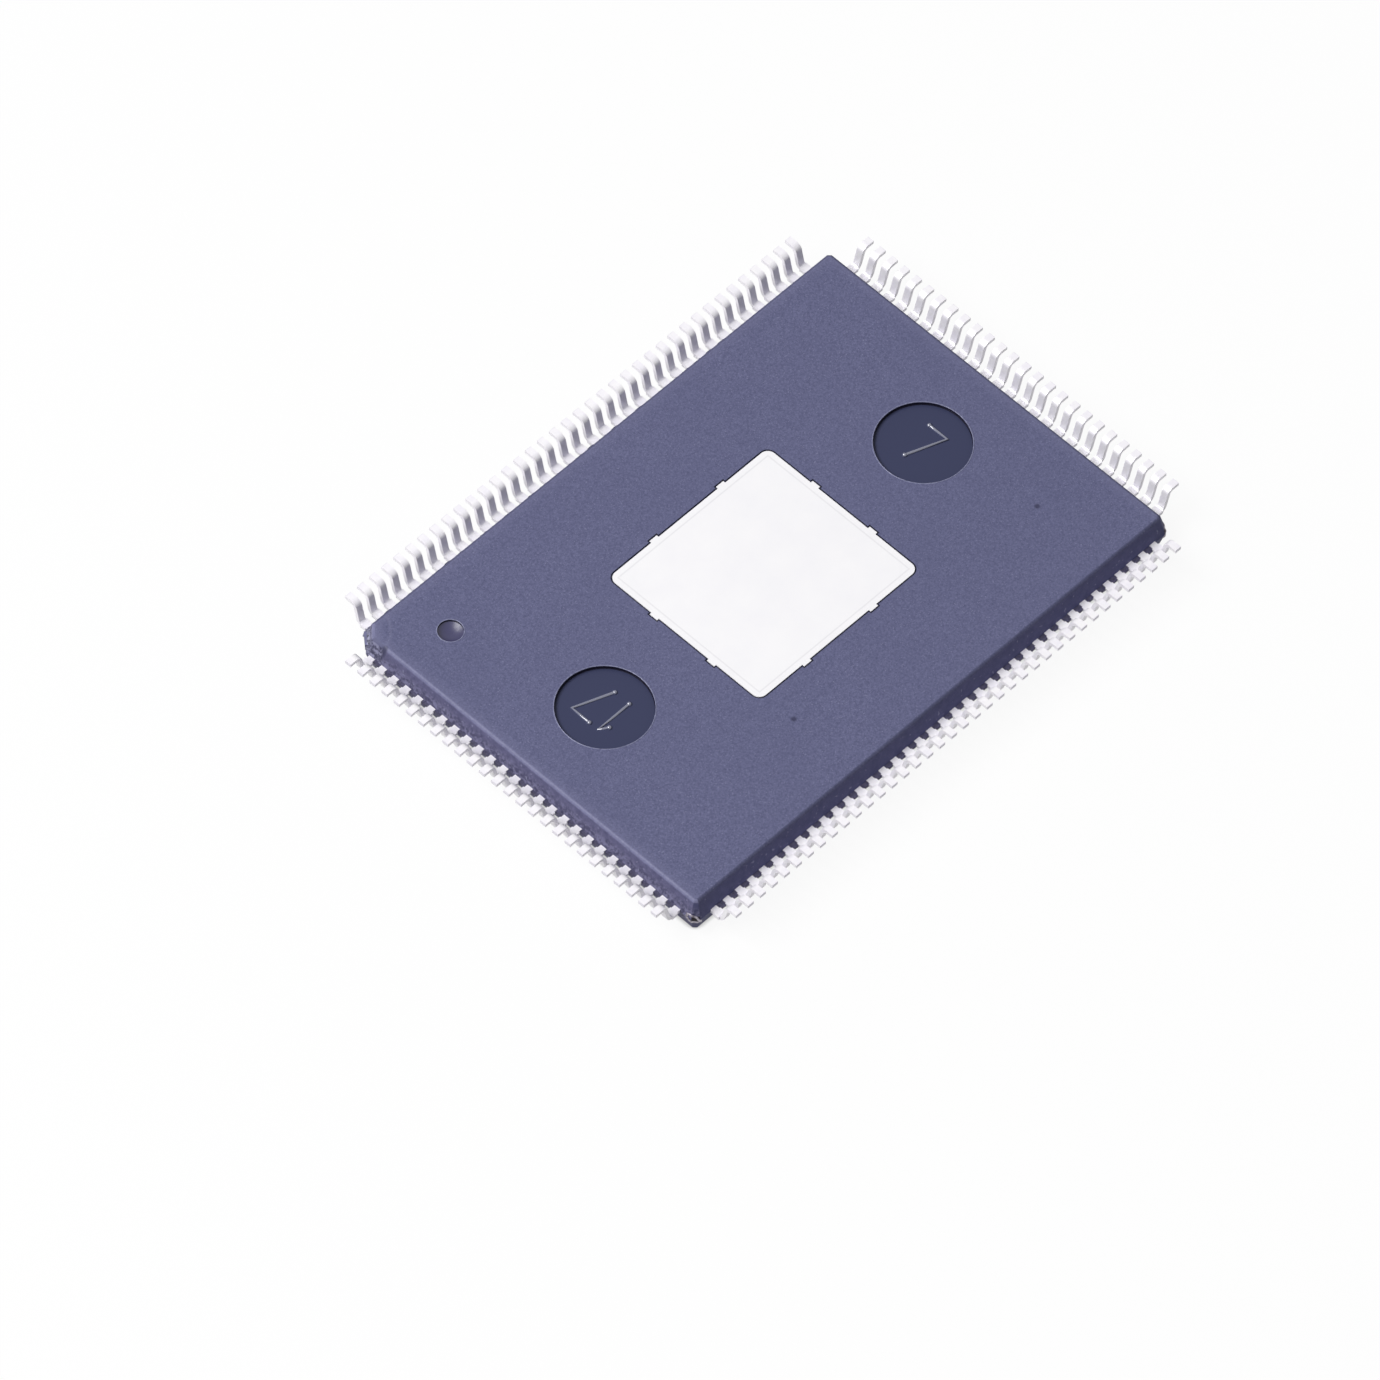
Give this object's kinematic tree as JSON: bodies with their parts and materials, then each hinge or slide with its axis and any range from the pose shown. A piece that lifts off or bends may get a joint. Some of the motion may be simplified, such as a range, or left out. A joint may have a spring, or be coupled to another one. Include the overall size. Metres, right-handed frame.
{
  "type": "ethernet switch chip",
  "caption": "Flat moulded network chip lying on its marking face, with rows of gull-wing leads round its edge and a bare metal thermal pad on the board side.",
  "frame": {"origin": "centre of the marking face, which lies on the floor", "axes": "+X along the long side, +Y along the short side, with the dimple at -X +Y, +Z out of the exposed pad"},
  "size_m": [0.022, 0.016, 0.0015],
  "materials": {
    "mould_compound": "fine sand-blasted epoxy moulding compound",
    "pad_tin": "matte tin over copper",
    "lead_tin": "satin tin over copper",
    "die_adhesive": "cured silver-filled epoxy",
    "silicon": "polished silicon",
    "wire_gold": "drawn gold wire"
  },
  "bodies": {
    "root": {"mould_body": "mould_compound", "die_paddle": "pad_tin", "die_attach": "die_adhesive", "silicon_die": "silicon", "leads_front": "lead_tin", "leads_back": "lead_tin", "leads_left": "lead_tin", "leads_right": "lead_tin", "wires_front": "wire_gold", "wires_back": "wire_gold", "wires_left": "wire_gold", "wires_right": "wire_gold"}
  },
  "joints": []
}
